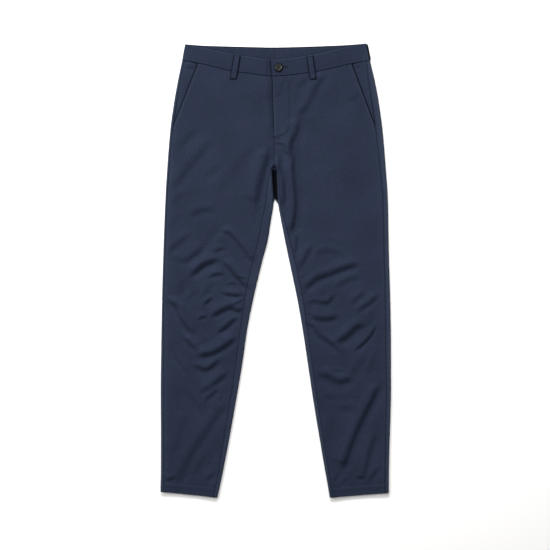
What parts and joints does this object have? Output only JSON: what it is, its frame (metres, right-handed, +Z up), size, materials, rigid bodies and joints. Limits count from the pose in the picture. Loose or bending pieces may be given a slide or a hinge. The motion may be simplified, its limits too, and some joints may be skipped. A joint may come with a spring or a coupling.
{
  "type": "tapered trousers",
  "caption": "Slim tapered trousers laid out flat, front side up, with slant pockets, fly front, belt loops and a buttoned waistband.",
  "frame": {"origin": "middle of the outline's bounding box, on the surface that the trousers lie on", "axes": "+Y towards the waist, +Z up out of the surface, +X to the wearer's left; the front faces up"},
  "size_m": [0.5299, 1.0448, 0.0124],
  "materials": {
    "twill": "navy cotton stretch twill, matt with a faint sheen",
    "horn": "dark brown horn-like resin, satin"
  },
  "bodies": {
    "root": {"front_left": "twill", "front_right": "twill", "back_left": "twill", "back_right": "twill", "pocket_left": "twill", "pocket_right": "twill", "waistband_left": "twill", "waistband_right": "twill", "loop_front_left": "twill", "loop_front_right": "twill", "loop_side_left": "twill", "loop_side_right": "twill", "loop_back": "twill", "button": "horn"}
  },
  "joints": []
}
